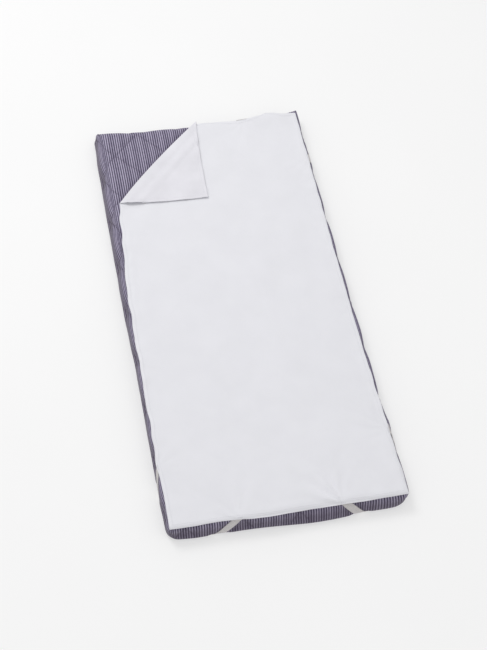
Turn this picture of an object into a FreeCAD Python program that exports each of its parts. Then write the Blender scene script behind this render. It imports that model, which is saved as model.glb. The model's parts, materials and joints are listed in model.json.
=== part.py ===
import FreeCAD, Part
import math
import os
import re

import Sketcher

# Quilted changing pad with a strap-held protector sheet, one corner of it turned back.
# X runs across the pad, +Y towards the head end, +Z up; the pad lies on z = 0.

DIMENSIONS = {
    "pad_length": 1200,
    "pad_width": 600,
    "pad_height": 55,
    "corner_radius": 30,
    "edge_radius": 16,
    "cover_thick": 1.4,
    "layer_gap": 0.1,
    "wadding_thick": 6,
    "seam_height": 10,
    "quilt_pitch": 100,
    "quilt_shift_fall": 260,
    "quilt_shift_rise": 770,
    "groove_width": 1.2,
    "groove_depth": 0.6,
    "thread_width": 0.8,
    "thread_thick": 0.3,
    "recess_leg": 133,
    "recess_depth": 1.6,
    "sheet_width": 590,
    "sheet_length": 1190,
    "sheet_gap": 0.3,
    "face_thick": 0.8,
    "backing_thick": 0.2,
    "fold_leg": 265,
    "fold_gap": 1.6,
    "fold_trim": 0.3,
    "strap_width": 19,
    "strap_thick": 1,
    "strap_gap": 0.3,
    "strap_floor": 0.1,
    "strap_reach": 160,
    "tucked_reach": 185,
    "tab_overlap": 4.5,
    "tack_length": 14,
    "tack_width": 1.2,
    "tack_thick": 0.3,
    "tack_margin": 2,
    "zip_length": 760,
    "zip_slot_height": 11,
    "zip_tape_height": 24,
    "zip_tape_thick": 0.5,
    "zip_tape_setback": 1.6,
    "zip_gap": 1,
    "coil_width": 2.2,
    "coil_inset": 8,
    "stop_length": 3,
    "runner_length": 10,
    "runner_height": 8.6,
    "runner_plate": 1,
    "runner_clearance": 0.3,
    "web_length": 6,
    "web_thick": 0.4,
    "flange_thick": 1.1,
    "pivot_rise": 2,
    "pivot_standoff": 1.6,
    "pivot_radius": 0.5,
    "ear_thick": 0.8,
    "ear_radius": 0.9,
    "eye_radius": 1.25,
    "eye_hole_radius": 0.6,
    "eye_length": 2.6,
    "pull_length": 20,
    "pull_width": 6.4,
    "pull_hole_radius": 1.6,
}

# Lengths that follow from the driving dimensions, as formulas.
HALF_WIDTH = "pad_width / 2"
HALF_LENGTH = "pad_length / 2"
SHEET_X = "sheet_width / 2"
SHEET_Y = "sheet_length / 2"
SHEET_FACE = "pad_height + sheet_gap + backing_thick"
SHEET_TOP = f"{SHEET_FACE} + face_thick"
FLAP_FACE = f"{SHEET_TOP} + fold_gap"
FLAP_TOP = f"{FLAP_FACE} + face_thick + backing_thick"
FOLD_X = "-sheet_width / 2 + fold_leg"
FOLD_Y = "sheet_length / 2 - fold_leg"
HALF_BAND = "strap_width / sqrt(2)"
DROP = "pad_height - strap_floor"
STRAP_OUT_X = "pad_width / 2 + strap_gap + strap_thick"
STRAP_OUT_Y = "pad_length / 2 + strap_gap + strap_thick"
ZIP_Z = "pad_height / 2"
TAPE_X = "pad_width / 2 - zip_tape_setback"
RUNNER_Y = "zip_length / 2 - coil_inset - web_length"
PIVOT_X = f"{HALF_WIDTH} + runner_clearance + runner_plate + pivot_standoff"
PIVOT_Z = f"{ZIP_Z} + pivot_rise"

doc = FreeCAD.newDocument("changing_pad")
parts = []


def write_dimensions():
    """Puts every driving dimension in the spreadsheet, one alias to a row."""
    table = doc.addObject("Spreadsheet::Sheet", "Dim")
    for row, (word, value) in enumerate(DIMENSIONS.items(), start=1):
        table.set(f"A{row}", word)
        table.set(f"B{row}", str(value))
        table.setAlias(f"B{row}", word)
    doc.recompute()
    return table


def formula(text):
    """Turns a formula in plain dimension words into one that reads the spreadsheet."""
    return re.sub(r"[a-z]\w+", lambda m: f"Dim.{m[0]}" if m[0] in DIMENSIONS else m[0], text)


def value(text):
    """The number that a formula gives with the present dimensions."""
    return float(dimension_table.evalExpression(formula(text)))


def bind(thing, **formulas):
    """Binds properties to formulas; x, y and z stand for the placement's base."""
    for name, text in formulas.items():
        path = f"Placement.Base.{name}" if name in ("x", "y", "z") else name
        thing.setExpression(path, formula(text))


def box(name, length, width, height, x, y, z):
    """A block with its low corner at x, y, z."""
    block = doc.addObject("Part::Box", name)
    bind(block, Length=length, Width=width, Height=height, x=x, y=y, z=z)
    return block


def centred_box(name, length, width, height, x, y, z):
    """A block with its centre at x, y, z."""
    return box(
        name, length, width, height,
        f"{x} - ({length}) / 2", f"{y} - ({width}) / 2", f"{z} - ({height}) / 2",
    )


def cylinder_along_y(name, radius, length, x, y, z):
    """A round bar along Y, centred on x, y, z."""
    bar = doc.addObject("Part::Cylinder", name)
    bar.Placement.Rotation = FreeCAD.Rotation(FreeCAD.Vector(1, 0, 0), 90)
    bind(bar, Radius=radius, Height=length, x=x, y=f"{y} + ({length}) / 2", z=z)
    return bar


def fuse(name, pieces):
    joined = doc.addObject("Part::MultiFuse", name)
    joined.Shapes = pieces
    return joined


def cut(name, base, tool):
    result = doc.addObject("Part::Cut", name)
    result.Base = base
    result.Tool = tool
    return result


def common(name, base, tool):
    result = doc.addObject("Part::Common", name)
    result.Base = base
    result.Tool = tool
    return result


def keep(thing, label):
    """Marks a finished sub-part, named as its file will be."""
    thing.Label = label
    parts.append(thing)
    return thing


def polygon_sketch(body, name, plane_role, corners):
    """A closed polygon whose corner positions are all formulas."""
    sketch = body.newObject("Sketcher::SketchObject", name)
    plane = next(f for f in body.Origin.OriginFeatures if f.Role == plane_role)
    sketch.AttachmentSupport = [(plane, "")]
    sketch.MapMode = "FlatFace"
    spots = [FreeCAD.Vector(value(a), value(b), 0) for a, b in corners]
    count = len(corners)
    for i in range(count):
        sketch.addGeometry(Part.LineSegment(spots[i], spots[(i + 1) % count]))
    for i in range(count):
        sketch.addConstraint(Sketcher.Constraint("Coincident", i, 2, (i + 1) % count, 1))
    for i, (across, up) in enumerate(corners):
        for kind, text in (("DistanceX", across), ("DistanceY", up)):
            index = sketch.addConstraint(Sketcher.Constraint(kind, -1, 1, i, 1, value(text)))
            sketch.setExpression(f"Constraints[{index}]", formula(text))
    return sketch


def plate(name, plane_role, corners, thickness, start):
    """A flat plate: a polygon on a base plane, thickened towards + from its start."""
    body = doc.addObject("PartDesign::Body", name)
    sketch = polygon_sketch(body, f"{name}_outline", plane_role, corners)
    block = body.newObject("PartDesign::Pad", f"{name}_block")
    block.Profile = sketch
    bind(block, Length=thickness)
    if plane_role == "XZ_Plane":
        bind(body, y=f"{start} + {thickness}")
    elif plane_role == "YZ_Plane":
        bind(body, x=start)
    else:
        bind(body, z=start)
    doc.recompute()
    return body


def rectangle(half_across, half_up):
    return [
        (f"-({half_across})", f"-({half_up})"),
        (half_across, f"-({half_up})"),
        (half_across, half_up),
        (f"-({half_across})", half_up),
    ]


def rounded_slab(name, inset):
    """The pad's outline moved inwards by inset, with rounded corners and rims."""
    outline = rectangle(f"{HALF_WIDTH} - {inset}", f"{HALF_LENGTH} - {inset}")
    height = f"pad_height - 2 * ({inset})"
    body = plate(name, "XY_Plane", outline, height, inset)
    block = body.Tip
    corners = body.newObject("PartDesign::Fillet", f"{name}_corners")
    upright = [i for i, e in enumerate(block.Shape.Edges, 1) if e.BoundBox.ZLength > 1]
    corners.Base = (block, [f"Edge{i}" for i in upright])
    bind(corners, Radius=f"corner_radius - {inset}")
    doc.recompute()
    rims = body.newObject("PartDesign::Fillet", f"{name}_rims")
    level = [i for i, e in enumerate(corners.Shape.Edges, 1) if e.BoundBox.ZLength < 0.01]
    rims.Base = (corners, [f"Edge{i}" for i in level])
    bind(rims, Radius=f"edge_radius - {inset}")
    doc.recompute()
    return body


def corner_blocks(name, inset, margin, top):
    """Four blocks that take the pad's underside corners off below a level."""
    blocks = []
    for sx, sy, turn in ((1, 1, 45), (-1, 1, 135), (-1, -1, 225), (1, -1, 315)):
        block = doc.addObject("Part::Box", f"{name}_{turn}")
        block.Placement.Rotation = FreeCAD.Rotation(FreeCAD.Vector(0, 0, 1), turn)
        reach = f"(recess_leg / sqrt(2) + {inset} + {margin})"
        corner_x = f"{HALF_WIDTH} - {reach} / sqrt(2)"
        corner_y = f"{HALF_LENGTH} - {reach} / sqrt(2)"
        along_x = -math.sin(math.radians(turn))
        along_y = math.cos(math.radians(turn))
        bind(
            block,
            Length="recess_leg * 2",
            Width="recess_leg * 4",
            Height=f"{top} + 5",
            x=f"{sx} * ({corner_x}) - ({along_x}) * recess_leg * 2",
            y=f"{sy} * ({corner_y}) - ({along_y}) * recess_leg * 2",
            z="-5",
        )
        blocks.append(block)
    return fuse(name, blocks)


def slab(name, inset):
    """A rounded slab with the four shallow underside recesses that the straps lie in."""
    body = rounded_slab(f"{name}_block", inset)
    recess = corner_blocks(f"{name}_recess", inset, "0", f"({inset} + recess_depth)")
    return cut(name, body, recess)


def quilt_lines(name, width, height, z):
    """Two families of straight diagonal bars, one pitch apart, crossing in squares."""
    length = "(pad_width + pad_length) * 0.75"
    run = f"({length} - {width}) / (2 * sqrt(2))"
    rise = f"({length} + {width}) / (2 * sqrt(2))"
    step = value("quilt_pitch * sqrt(2)")
    half_span = value("(pad_width + pad_length) / 2")
    bars = []
    for family, turn, shift in (("fall", -45, "quilt_shift_fall"), ("rise", 45, "quilt_shift_rise")):
        first = math.ceil((-half_span - value(shift)) / step)
        last = math.floor((half_span - value(shift)) / step)
        for k in range(first, last + 1):
            half = f"({shift} + {k} * quilt_pitch * sqrt(2)) / 2"
            bar = doc.addObject("Part::Box", f"{name}_{family}_{k - first}")
            bar.Placement.Rotation = FreeCAD.Rotation(FreeCAD.Vector(0, 0, 1), turn)
            bind(bar, Length=length, Width=width, Height=height, z=z)
            if turn < 0:
                bind(bar, x=f"{half} - {rise}", y=f"{half} + {run}")
            else:
                bind(bar, x=f"-{half} - {run}", y=f"{half} - {rise}")
            bars.append(bar)
    return fuse(name, bars)


def half_space(name, low, high):
    """A block wider than the pad between two levels."""
    return box(
        name, "pad_width * 2", "pad_length * 2", f"{high} - ({low})",
        "-pad_width", "-pad_length", low,
    )


def make_fillings():
    """Foam core inside two halves of quilt wadding, with room for the zip in one wall."""
    wadding_inset = "(cover_thick + layer_gap)"
    hollow_inset = "(cover_thick + layer_gap + wadding_thick)"
    core_inset = "(cover_thick + 2 * layer_gap + wadding_thick)"
    keep(slab("core", core_inset), "foam_core")
    shell = cut("wadding_shell", slab("wadding_outer", wadding_inset), slab("wadding_hollow", hollow_inset))
    pocket = centred_box(
        "zip_pocket", "6", "zip_length + 16", "zip_tape_height + 1.2",
        f"{HALF_WIDTH} - {wadding_inset}", "0", ZIP_Z,
    )
    above = half_space("wadding_above", "seam_height", "pad_height + 10")
    below = half_space("wadding_below", "-10", "seam_height - layer_gap")
    keep(cut("wadding_upper", common("wadding_upper_block", shell, above), pocket), "wadding_top")
    keep(common("wadding_lower", shell, below), "wadding_bottom")


def make_cover():
    """Cover shell in two panels joined at a low seam, quilted on both faces."""
    shell = cut("cover_shell", slab("cover_outer", "0"), slab("cover_hollow", "cover_thick"))
    above = half_space("cover_above", "seam_height", "pad_height + 10")
    below = half_space("cover_below", "-10", "seam_height - layer_gap")
    slot = centred_box(
        "zip_slot", "6", "zip_length", "zip_slot_height", HALF_WIDTH, "0", ZIP_Z,
    )
    top_lines = quilt_lines("top_grooves", "groove_width", "5", "pad_height - groove_depth")
    low_lines = quilt_lines("low_grooves", "groove_width", "5 + groove_depth", "-5")
    upper = cut("cover_upper_block", common("cover_upper_shell", shell, above), slot)
    keep(cut("cover_upper", upper, top_lines), "cover_top_panel")
    keep(cut("cover_lower", common("cover_lower_shell", shell, below), low_lines), "cover_bottom_panel")


def make_quilting_threads():
    """Stitching that lies in the grooves of the flat part of each panel."""
    flat = rectangle(f"{HALF_WIDTH} - edge_radius", f"{HALF_LENGTH} - edge_radius")
    slack = "(groove_depth - thread_thick) / 2"
    top_z = f"pad_height - groove_depth + {slack}"
    top_area = plate("top_flat", "XY_Plane", flat, "thread_thick * 4", "pad_height - thread_thick * 3")
    top_lines = quilt_lines("top_threads", "thread_width", "thread_thick", top_z)
    keep(common("top_stitching", top_lines, top_area), "quilting_thread_top")
    low_area = plate("low_flat", "XY_Plane", flat, "thread_thick * 4", "-thread_thick")
    corners = corner_blocks("low_corners", "0", "2", "5")
    low_lines = quilt_lines("low_threads", "thread_width", "thread_thick", slack)
    keep(common("low_stitching", low_lines, cut("low_region", low_area, corners)), "quilting_thread_bottom")


def make_zip():
    """Tapes, coils and end stops of the zip in the right-hand wall."""
    strip = f"(zip_tape_height - zip_gap) / 2"
    for side, label in ((1, "upper"), (-1, "lower")):
        tape_z = f"{ZIP_Z} + {side} * (zip_gap / 2 + {strip} / 2)"
        tape = centred_box(
            f"tape_{label}", "zip_tape_thick", "zip_length + 12", strip,
            f"{TAPE_X} - zip_tape_thick / 2", "0", tape_z,
        )
        keep(tape, f"zip_tape_{label}")
        coil_z = f"{ZIP_Z} + {side} * (zip_gap / 2 + coil_width / 2)"
        coil = centred_box(
            f"coil_{label}", "zip_tape_setback", "zip_length - 2 * coil_inset", "coil_width",
            f"{HALF_WIDTH} - zip_tape_setback / 2", "0", coil_z,
        )
        keep(coil, f"zip_coil_{label}")
    stops = []
    for side in (1, -1):
        stop_y = f"{side} * (zip_length / 2 - coil_inset + layer_gap + stop_length / 2)"
        stops.append(centred_box(
            f"stop_{side + 1}", "zip_tape_setback - layer_gap", "stop_length",
            "zip_gap + 2 * coil_width + layer_gap",
            f"{HALF_WIDTH} - (zip_tape_setback - layer_gap) / 2", stop_y, ZIP_Z,
        ))
    keep(fuse("stops", stops), "zip_end_stops")


def make_zip_runner():
    """Zip slider: two plates joined by a web, side flanges, and ears with a pin."""
    front_x = f"{HALF_WIDTH} + runner_clearance + runner_plate / 2"
    back_x = f"{TAPE_X} - zip_tape_thick - runner_clearance - runner_plate / 2"
    size = ("runner_plate", "runner_length", "runner_height")
    front = centred_box("runner_front", *size, front_x, RUNNER_Y, ZIP_Z)
    back = centred_box("runner_back", *size, back_x, RUNNER_Y, ZIP_Z)
    web = centred_box(
        "runner_web", f"{front_x} - ({back_x})", "web_length", "web_thick",
        f"(({front_x}) + ({back_x})) / 2", RUNNER_Y, ZIP_Z,
    )
    pieces = [front, back, web]
    for side in (1, -1):
        flange_z = f"{ZIP_Z} + {side} * (runner_height - flange_thick) / 2"
        pieces.append(centred_box(
            f"flange_{side + 1}", "1.6", "runner_length", "flange_thick",
            f"{HALF_WIDTH} - 0.2", RUNNER_Y, flange_z,
        ))
        ear_y = f"{RUNNER_Y} + {side} * (eye_length / 2 + runner_clearance + ear_thick / 2)"
        pieces.append(cylinder_along_y(
            f"ear_{side + 1}", "ear_radius", "ear_thick", PIVOT_X, ear_y, PIVOT_Z,
        ))
        pieces.append(centred_box(
            f"ear_foot_{side + 1}", "pivot_standoff", "ear_thick", "2 * ear_radius",
            f"{PIVOT_X} - pivot_standoff / 2", ear_y, PIVOT_Z,
        ))
    pin_length = "eye_length + 2 * runner_clearance + 2 * ear_thick"
    pieces.append(cylinder_along_y("pin", "pivot_radius", pin_length, PIVOT_X, RUNNER_Y, PIVOT_Z))
    keep(fuse("runner", pieces), "zip_slider")


def make_zip_pull():
    """Pull tab: an eye on the slider's pin, a neck, and a wider grip with a hole."""
    eye = cylinder_along_y("pull_eye", "eye_radius", "eye_length", PIVOT_X, RUNNER_Y, PIVOT_Z)
    neck = centred_box(
        "pull_neck", "runner_plate", "eye_length", "pull_length / 3",
        PIVOT_X, RUNNER_Y, f"{PIVOT_Z} - pull_length / 6",
    )
    grip = centred_box(
        "pull_grip", "runner_plate", "pull_width", "pull_length * 0.7",
        PIVOT_X, RUNNER_Y, f"{PIVOT_Z} - pull_length * 0.65",
    )
    rounded = doc.addObject("Part::Fillet", "pull_grip_rounded")
    rounded.Base = grip
    doc.recompute()
    across = [i for i, e in enumerate(grip.Shape.Edges, 1) if e.BoundBox.XLength > 0.5]
    rounded.Edges = [(i, value("pull_width / 4"), value("pull_width / 4")) for i in across]
    bore = cylinder_along_y(
        "eye_bore", "eye_hole_radius", "eye_length + 2", PIVOT_X, RUNNER_Y, PIVOT_Z,
    )
    hole = doc.addObject("Part::Cylinder", "grip_hole")
    hole.Placement.Rotation = FreeCAD.Rotation(FreeCAD.Vector(0, 1, 0), 90)
    bind(
        hole, Radius="pull_hole_radius", Height="runner_plate * 4",
        x=f"{PIVOT_X} - runner_plate * 2", y=RUNNER_Y, z=f"{PIVOT_Z} - pull_length * 0.82",
    )
    solid = fuse("pull_solid", [eye, neck, rounded])
    keep(cut("pull", solid, fuse("pull_holes", [bore, hole])), "zip_pull")


def make_sheet():
    """Protector sheet and its backing, with the rear left corner missing at the fold."""
    trim = "fold_trim * sqrt(2)"
    outline = [
        (f"-{SHEET_X}", f"-{SHEET_Y}"),
        (SHEET_X, f"-{SHEET_Y}"),
        (SHEET_X, SHEET_Y),
        (f"{FOLD_X} + {trim}", SHEET_Y),
        (f"-{SHEET_X}", f"{FOLD_Y} - {trim}"),
    ]
    face = plate("sheet_face", "XY_Plane", outline, "face_thick", SHEET_FACE)
    back = plate("sheet_back", "XY_Plane", outline, "backing_thick", "pad_height + sheet_gap")
    keep(face, "protector_sheet")
    keep(back, "protector_backing")


def make_flap():
    """The turned-back corner: the face now looks down and the backing up."""
    trim = "fold_trim * sqrt(2)"
    outline = [
        (f"-{SHEET_X} + {trim}", FOLD_Y),
        (FOLD_X, FOLD_Y),
        (FOLD_X, f"{SHEET_Y} - {trim}"),
    ]
    keep(plate("flap_face", "XY_Plane", outline, "face_thick", FLAP_FACE), "flap_sheet")
    back_start = f"{FLAP_FACE} + face_thick"
    keep(plate("flap_back", "XY_Plane", outline, "backing_thick", back_start), "flap_backing")


def make_corner_strap(label, sx, sy):
    """An elastic strap from hem to hem, down both walls and across under one corner."""
    along_y = f"({SHEET_Y} - strap_reach)"
    along_x = f"({SHEET_X} - strap_reach)"

    def slanted(sign, place):
        return [
            (f"{sign} * ({place} - {HALF_BAND})", "pad_height"),
            (f"{sign} * ({place} + {HALF_BAND})", "pad_height"),
            (f"{sign} * ({place} + {DROP} + {HALF_BAND})", "strap_floor"),
            (f"{sign} * ({place} + {DROP} - {HALF_BAND})", "strap_floor"),
        ]

    def wall_start(sign, half):
        return f"{half} + strap_gap" if sign > 0 else f"-({half} + strap_gap + strap_thick)"

    wall_x = plate(
        f"{label}_wall_x", "YZ_Plane", slanted(sy, along_y), "strap_thick", wall_start(sx, HALF_WIDTH),
    )
    wall_y = plate(
        f"{label}_wall_y", "XZ_Plane", slanted(sx, along_x), "strap_thick", wall_start(sy, HALF_LENGTH),
    )
    low_x = f"{along_x} + {DROP}"
    low_y = f"{along_y} + {DROP}"
    under_outline = [
        (f"{sx} * ({STRAP_OUT_X})", f"{sy} * ({low_y} - {HALF_BAND})"),
        (f"{sx} * ({STRAP_OUT_X})", f"{sy} * ({low_y} + {HALF_BAND})"),
        (f"{sx} * ({low_x} + {HALF_BAND})", f"{sy} * ({STRAP_OUT_Y})"),
        (f"{sx} * ({low_x} - {HALF_BAND})", f"{sy} * ({STRAP_OUT_Y})"),
    ]
    under = plate(f"{label}_under", "XY_Plane", under_outline, "strap_thick", "strap_floor")
    tab_z = "pad_height - strap_thick / 2"
    tab_x = centred_box(
        f"{label}_tab_x", f"{STRAP_OUT_X} - ({SHEET_X} - tab_overlap)", f"2 * {HALF_BAND}", "strap_thick",
        f"{sx} * (({STRAP_OUT_X}) + ({SHEET_X} - tab_overlap)) / 2", f"{sy} * {along_y}", tab_z,
    )
    tab_y = centred_box(
        f"{label}_tab_y", f"2 * {HALF_BAND}", f"{STRAP_OUT_Y} - ({SHEET_Y} - tab_overlap)", "strap_thick",
        f"{sx} * {along_x}", f"{sy} * (({STRAP_OUT_Y}) + ({SHEET_Y} - tab_overlap)) / 2", tab_z,
    )
    keep(fuse(f"{label}_fused", [wall_x, wall_y, under, tab_x, tab_y]), label)


def make_tucked_strap():
    """The rear left strap, folded in under the turned-back corner from hem to hem."""
    near_x = f"{FOLD_X} - tucked_reach"
    near_y = f"{FOLD_Y} + tucked_reach"
    outline = [
        (f"{near_x} - {HALF_BAND} + layer_gap", f"{FOLD_Y} + layer_gap"),
        (f"{near_x} + {HALF_BAND} + layer_gap", f"{FOLD_Y} + layer_gap"),
        (f"{FOLD_X} - layer_gap", f"{near_y} - {HALF_BAND} - layer_gap"),
        (f"{FOLD_X} - layer_gap", f"{near_y} + {HALF_BAND} - layer_gap"),
    ]
    strip = plate("tucked_strip", "XY_Plane", outline, "strap_thick", f"{SHEET_TOP} + strap_gap")
    keep(strip, "rear_left_strap")


def make_tacks():
    """Bar tacks that hold the strap ends to the hem."""
    inner = "tack_margin + tack_width / 2"
    along_y = f"({SHEET_Y} - strap_reach)"
    along_x = f"({SHEET_X} - strap_reach)"
    main = []
    for index, (sx, sy) in enumerate(((-1, -1), (1, -1), (1, 1))):
        main.append(centred_box(
            f"tack_side_{index}", "tack_width", "tack_length", "tack_thick",
            f"{sx} * ({SHEET_X} - {inner})", f"{sy} * {along_y}", f"{SHEET_TOP} + tack_thick / 2",
        ))
        main.append(centred_box(
            f"tack_end_{index}", "tack_length", "tack_width", "tack_thick",
            f"{sx} * {along_x}", f"{sy} * ({SHEET_Y} - {inner})", f"{SHEET_TOP} + tack_thick / 2",
        ))
    keep(fuse("main_tacks", main), "strap_tacks_main")
    flap = [
        centred_box(
            "tack_flap_low", "tack_length", "tack_width", "tack_thick",
            f"{FOLD_X} - tucked_reach", f"{FOLD_Y} + {inner}", f"{FLAP_TOP} + tack_thick / 2",
        ),
        centred_box(
            "tack_flap_side", "tack_width", "tack_length", "tack_thick",
            f"{FOLD_X} - ({inner})", f"{FOLD_Y} + tucked_reach", f"{FLAP_TOP} + tack_thick / 2",
        ),
    ]
    keep(fuse("flap_tacks", flap), "strap_tacks_flap")


def write_parts():
    """Checks every object, then writes each sub-part to its own file."""
    doc.recompute()
    for thing in doc.Objects:
        bad = [s for s in thing.State if s in ("Invalid", "Error")]
        if bad:
            raise RuntimeError(f"{thing.Label}: {thing.State}")
    os.makedirs("parts", exist_ok=True)
    for thing in parts:
        shape = thing.Shape
        if not shape.isValid() or not shape.Solids or shape.Volume <= 0:
            raise RuntimeError(f"{thing.Label}: no valid solid")
        shape.exportStep(f"parts/{thing.Label}.step")
        low = [round(v, 2) for v in (shape.BoundBox.XMin, shape.BoundBox.YMin, shape.BoundBox.ZMin)]
        high = [round(v, 2) for v in (shape.BoundBox.XMax, shape.BoundBox.YMax, shape.BoundBox.ZMax)]
        print(f"{thing.Label:24s} solids {len(shape.Solids):3d} volume {shape.Volume:12.1f} {low} {high}")


dimension_table = write_dimensions()
make_fillings()
make_cover()
make_quilting_threads()
make_zip()
make_zip_runner()
make_zip_pull()
make_sheet()
make_flap()
make_corner_strap("front_left_strap", -1, -1)
make_corner_strap("front_right_strap", 1, -1)
make_corner_strap("rear_right_strap", 1, 1)
make_tucked_strap()
make_tacks()
write_parts()
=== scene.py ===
import json
import math

import bmesh
import bpy
import numpy as np
from mathutils import Matrix, Vector


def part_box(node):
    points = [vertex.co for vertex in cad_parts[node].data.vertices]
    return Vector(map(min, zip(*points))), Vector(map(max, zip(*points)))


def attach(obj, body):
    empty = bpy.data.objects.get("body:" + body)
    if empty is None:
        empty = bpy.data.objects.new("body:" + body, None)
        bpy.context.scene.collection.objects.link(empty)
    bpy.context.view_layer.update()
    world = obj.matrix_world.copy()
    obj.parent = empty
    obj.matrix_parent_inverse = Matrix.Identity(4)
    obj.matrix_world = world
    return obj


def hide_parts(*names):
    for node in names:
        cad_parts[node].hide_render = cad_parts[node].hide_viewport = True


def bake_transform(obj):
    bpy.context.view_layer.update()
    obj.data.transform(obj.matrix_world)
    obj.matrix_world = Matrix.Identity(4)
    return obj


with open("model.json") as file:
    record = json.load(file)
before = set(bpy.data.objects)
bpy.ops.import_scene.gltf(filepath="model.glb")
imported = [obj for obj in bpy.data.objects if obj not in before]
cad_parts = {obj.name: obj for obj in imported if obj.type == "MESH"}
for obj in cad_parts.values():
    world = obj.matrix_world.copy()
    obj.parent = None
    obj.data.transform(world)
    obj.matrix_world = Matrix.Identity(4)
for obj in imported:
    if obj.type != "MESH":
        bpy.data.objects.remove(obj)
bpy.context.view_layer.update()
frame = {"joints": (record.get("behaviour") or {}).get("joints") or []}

MM = 0.001

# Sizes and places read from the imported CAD, in metres.
HALF_X, HALF_Y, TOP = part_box("cover_top_panel")[1]
SEAM_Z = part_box("cover_bottom_panel")[1].z
SHEET_X, SHEET_Y, SHEET_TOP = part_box("protector_sheet")[1]
CLOTH_THICK = SHEET_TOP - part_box("protector_backing")[0].z

# The fold runs from the sheet's left edge along y - x = FOLD_LINE, and each leg of the
# turned-back corner is FOLD_LEG long. A small pocket stays open near the fold's front end.
FOLD_X, FOLD_Y, _ = next(j for j in frame["joints"] if j["name"] == "corner_fold")["pos_m"]
FOLD_LINE = FOLD_Y - FOLD_X
FOLD_LEG = SHEET_Y - FOLD_Y
FOLD_RADIUS = 1.3 * MM
POCKET_X = -236 * MM

# The slot that holds the zip, in the right-hand wall.
ZIP_Z = (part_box("zip_coil_lower")[0].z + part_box("zip_coil_upper")[1].z) / 2
SLOT_HALF_Z = 5.5 * MM
SLOT_HALF_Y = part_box("zip_end_stops")[1].y + 4.9 * MM
SLOT_DEPTH = 4 * MM
SLOT_MARGIN = 25 * MM

# Quilting: two families of diagonal lines, 100 mm apart, so QUILT_STEP apart along x or y.
# One falling line is x + y = QUILT_FALL, and one rising line is y - x = QUILT_RISE.
# PUFF_ROUND is how full the domes between the lines are.
QUILT_STEP = 100 * math.sqrt(2) * MM
QUILT_FALL = 260 * MM
QUILT_RISE = 770 * MM
PUFF_ROUND = 3.2

# Radius of the pad's top and bottom edges in section.
RIM_TOP = 20 * MM
RIM_LOW = 12 * MM
# Radius of each corner in plan, at the top and at the bottom of the pad.
CORNER_RADII = {
    (-1, -1): (18 * MM, 30 * MM),
    (1, -1): (10 * MM, 42 * MM),
    (-1, 1): (6 * MM, 16 * MM),
    (1, 1): (6 * MM, 16 * MM),
}

# Elastic straps: each is sewn to both hems STRAP_REACH from the sheet's corner.
STRAP_WIDTH = 19 * MM
STRAP_THICK = 1 * MM
STRAP_REACH = 160 * MM
STRAPS = {
    "front_left": (-1, -1),
    "front_right": (1, -1),
    "rear_right": (1, 1),
}
# How far a strap's end on the front hem is sewn in from its even place.
STRAP_SET = {"front_left": 12 * MM}
# Length tucked under the hem, and length from there to where the strap turns up the long side.
STRAP_TUCK = 9 * MM
STRAP_TURN = STRAP_TUCK + HALF_X - SHEET_X + STRAP_REACH

HEM_WIDTH = 10 * MM
HEM_STITCH = HEM_WIDTH - 1.2 * MM


def ease(t):
    """Smooth step from 0 to 1."""
    t = np.clip(t, 0.0, 1.0)
    return t * t * (3 - 2 * t)


def hump(x, centre, width):
    """Bell curve, 1 at its centre."""
    return np.exp(-(((x - centre) / width) ** 2))


def ripple(x, y, size, seed, waves=7):
    """Smooth noise about -1 to 1: a few sine waves of that size in fixed random directions."""
    rng = np.random.default_rng(seed)
    total = 0.0
    for turn, phase, stretch in rng.uniform(0, 1, (waves, 3)):
        angle = turn * 2 * math.pi
        k = 2 * math.pi / (size * (0.7 + 0.7 * stretch))
        total = total + np.sin(k * (x * math.cos(angle) + y * math.sin(angle)) + phase * 2 * math.pi)
    return total / math.sqrt(waves * 0.9)


def line_distance(value):
    """Distance to the nearest quilting line of a family, as 0 on the line to 1 halfway."""
    return np.abs(value - np.round(value)) * 2


def quilt_puff(x, y):
    """0 on a quilting line, 1 in the middle of a square, in unrolled cloth metres."""
    fall = line_distance((x + y - QUILT_FALL) / QUILT_STEP)
    rise = line_distance((y - x - QUILT_RISE) / QUILT_STEP)
    dome_fall = 1 - (1 - fall) ** PUFF_ROUND
    dome_rise = 1 - (1 - rise) ** PUFF_ROUND
    return dome_fall * dome_rise


def quilt_pucker(x, y):
    """Small creases that run off the quilting lines, about -1 to 1."""
    fall = (x + y - QUILT_FALL) / QUILT_STEP
    rise = (y - x - QUILT_RISE) / QUILT_STEP
    fade = QUILT_STEP / math.sqrt(2) / 2 / (9 * MM)
    near_fall = np.exp(-line_distance(fall) * fade)
    near_rise = np.exp(-line_distance(rise) * fade)
    along_fall = (y - x) / math.sqrt(2)
    along_rise = (x + y) / math.sqrt(2)
    wave_fall = np.sin(2 * math.pi * along_fall / 0.017 + 2.5 * ripple(x, y, 0.06, 3))
    wave_rise = np.sin(2 * math.pi * along_rise / 0.019 + 2.5 * ripple(x, y, 0.06, 4))
    return near_fall * wave_fall + near_rise * wave_rise


def strap_shift(label, run):
    """How far in from its even place a strap lies, at a distance along it from the end hem."""
    return STRAP_SET.get(label, 0) * (1 - ease(run / STRAP_TURN))


def strap_places(label):
    """Where a strap is sewn on: |x| on the end hem and |y| on the side hem."""
    return SHEET_X - STRAP_REACH - STRAP_SET.get(label, 0), SHEET_Y - STRAP_REACH


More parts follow.
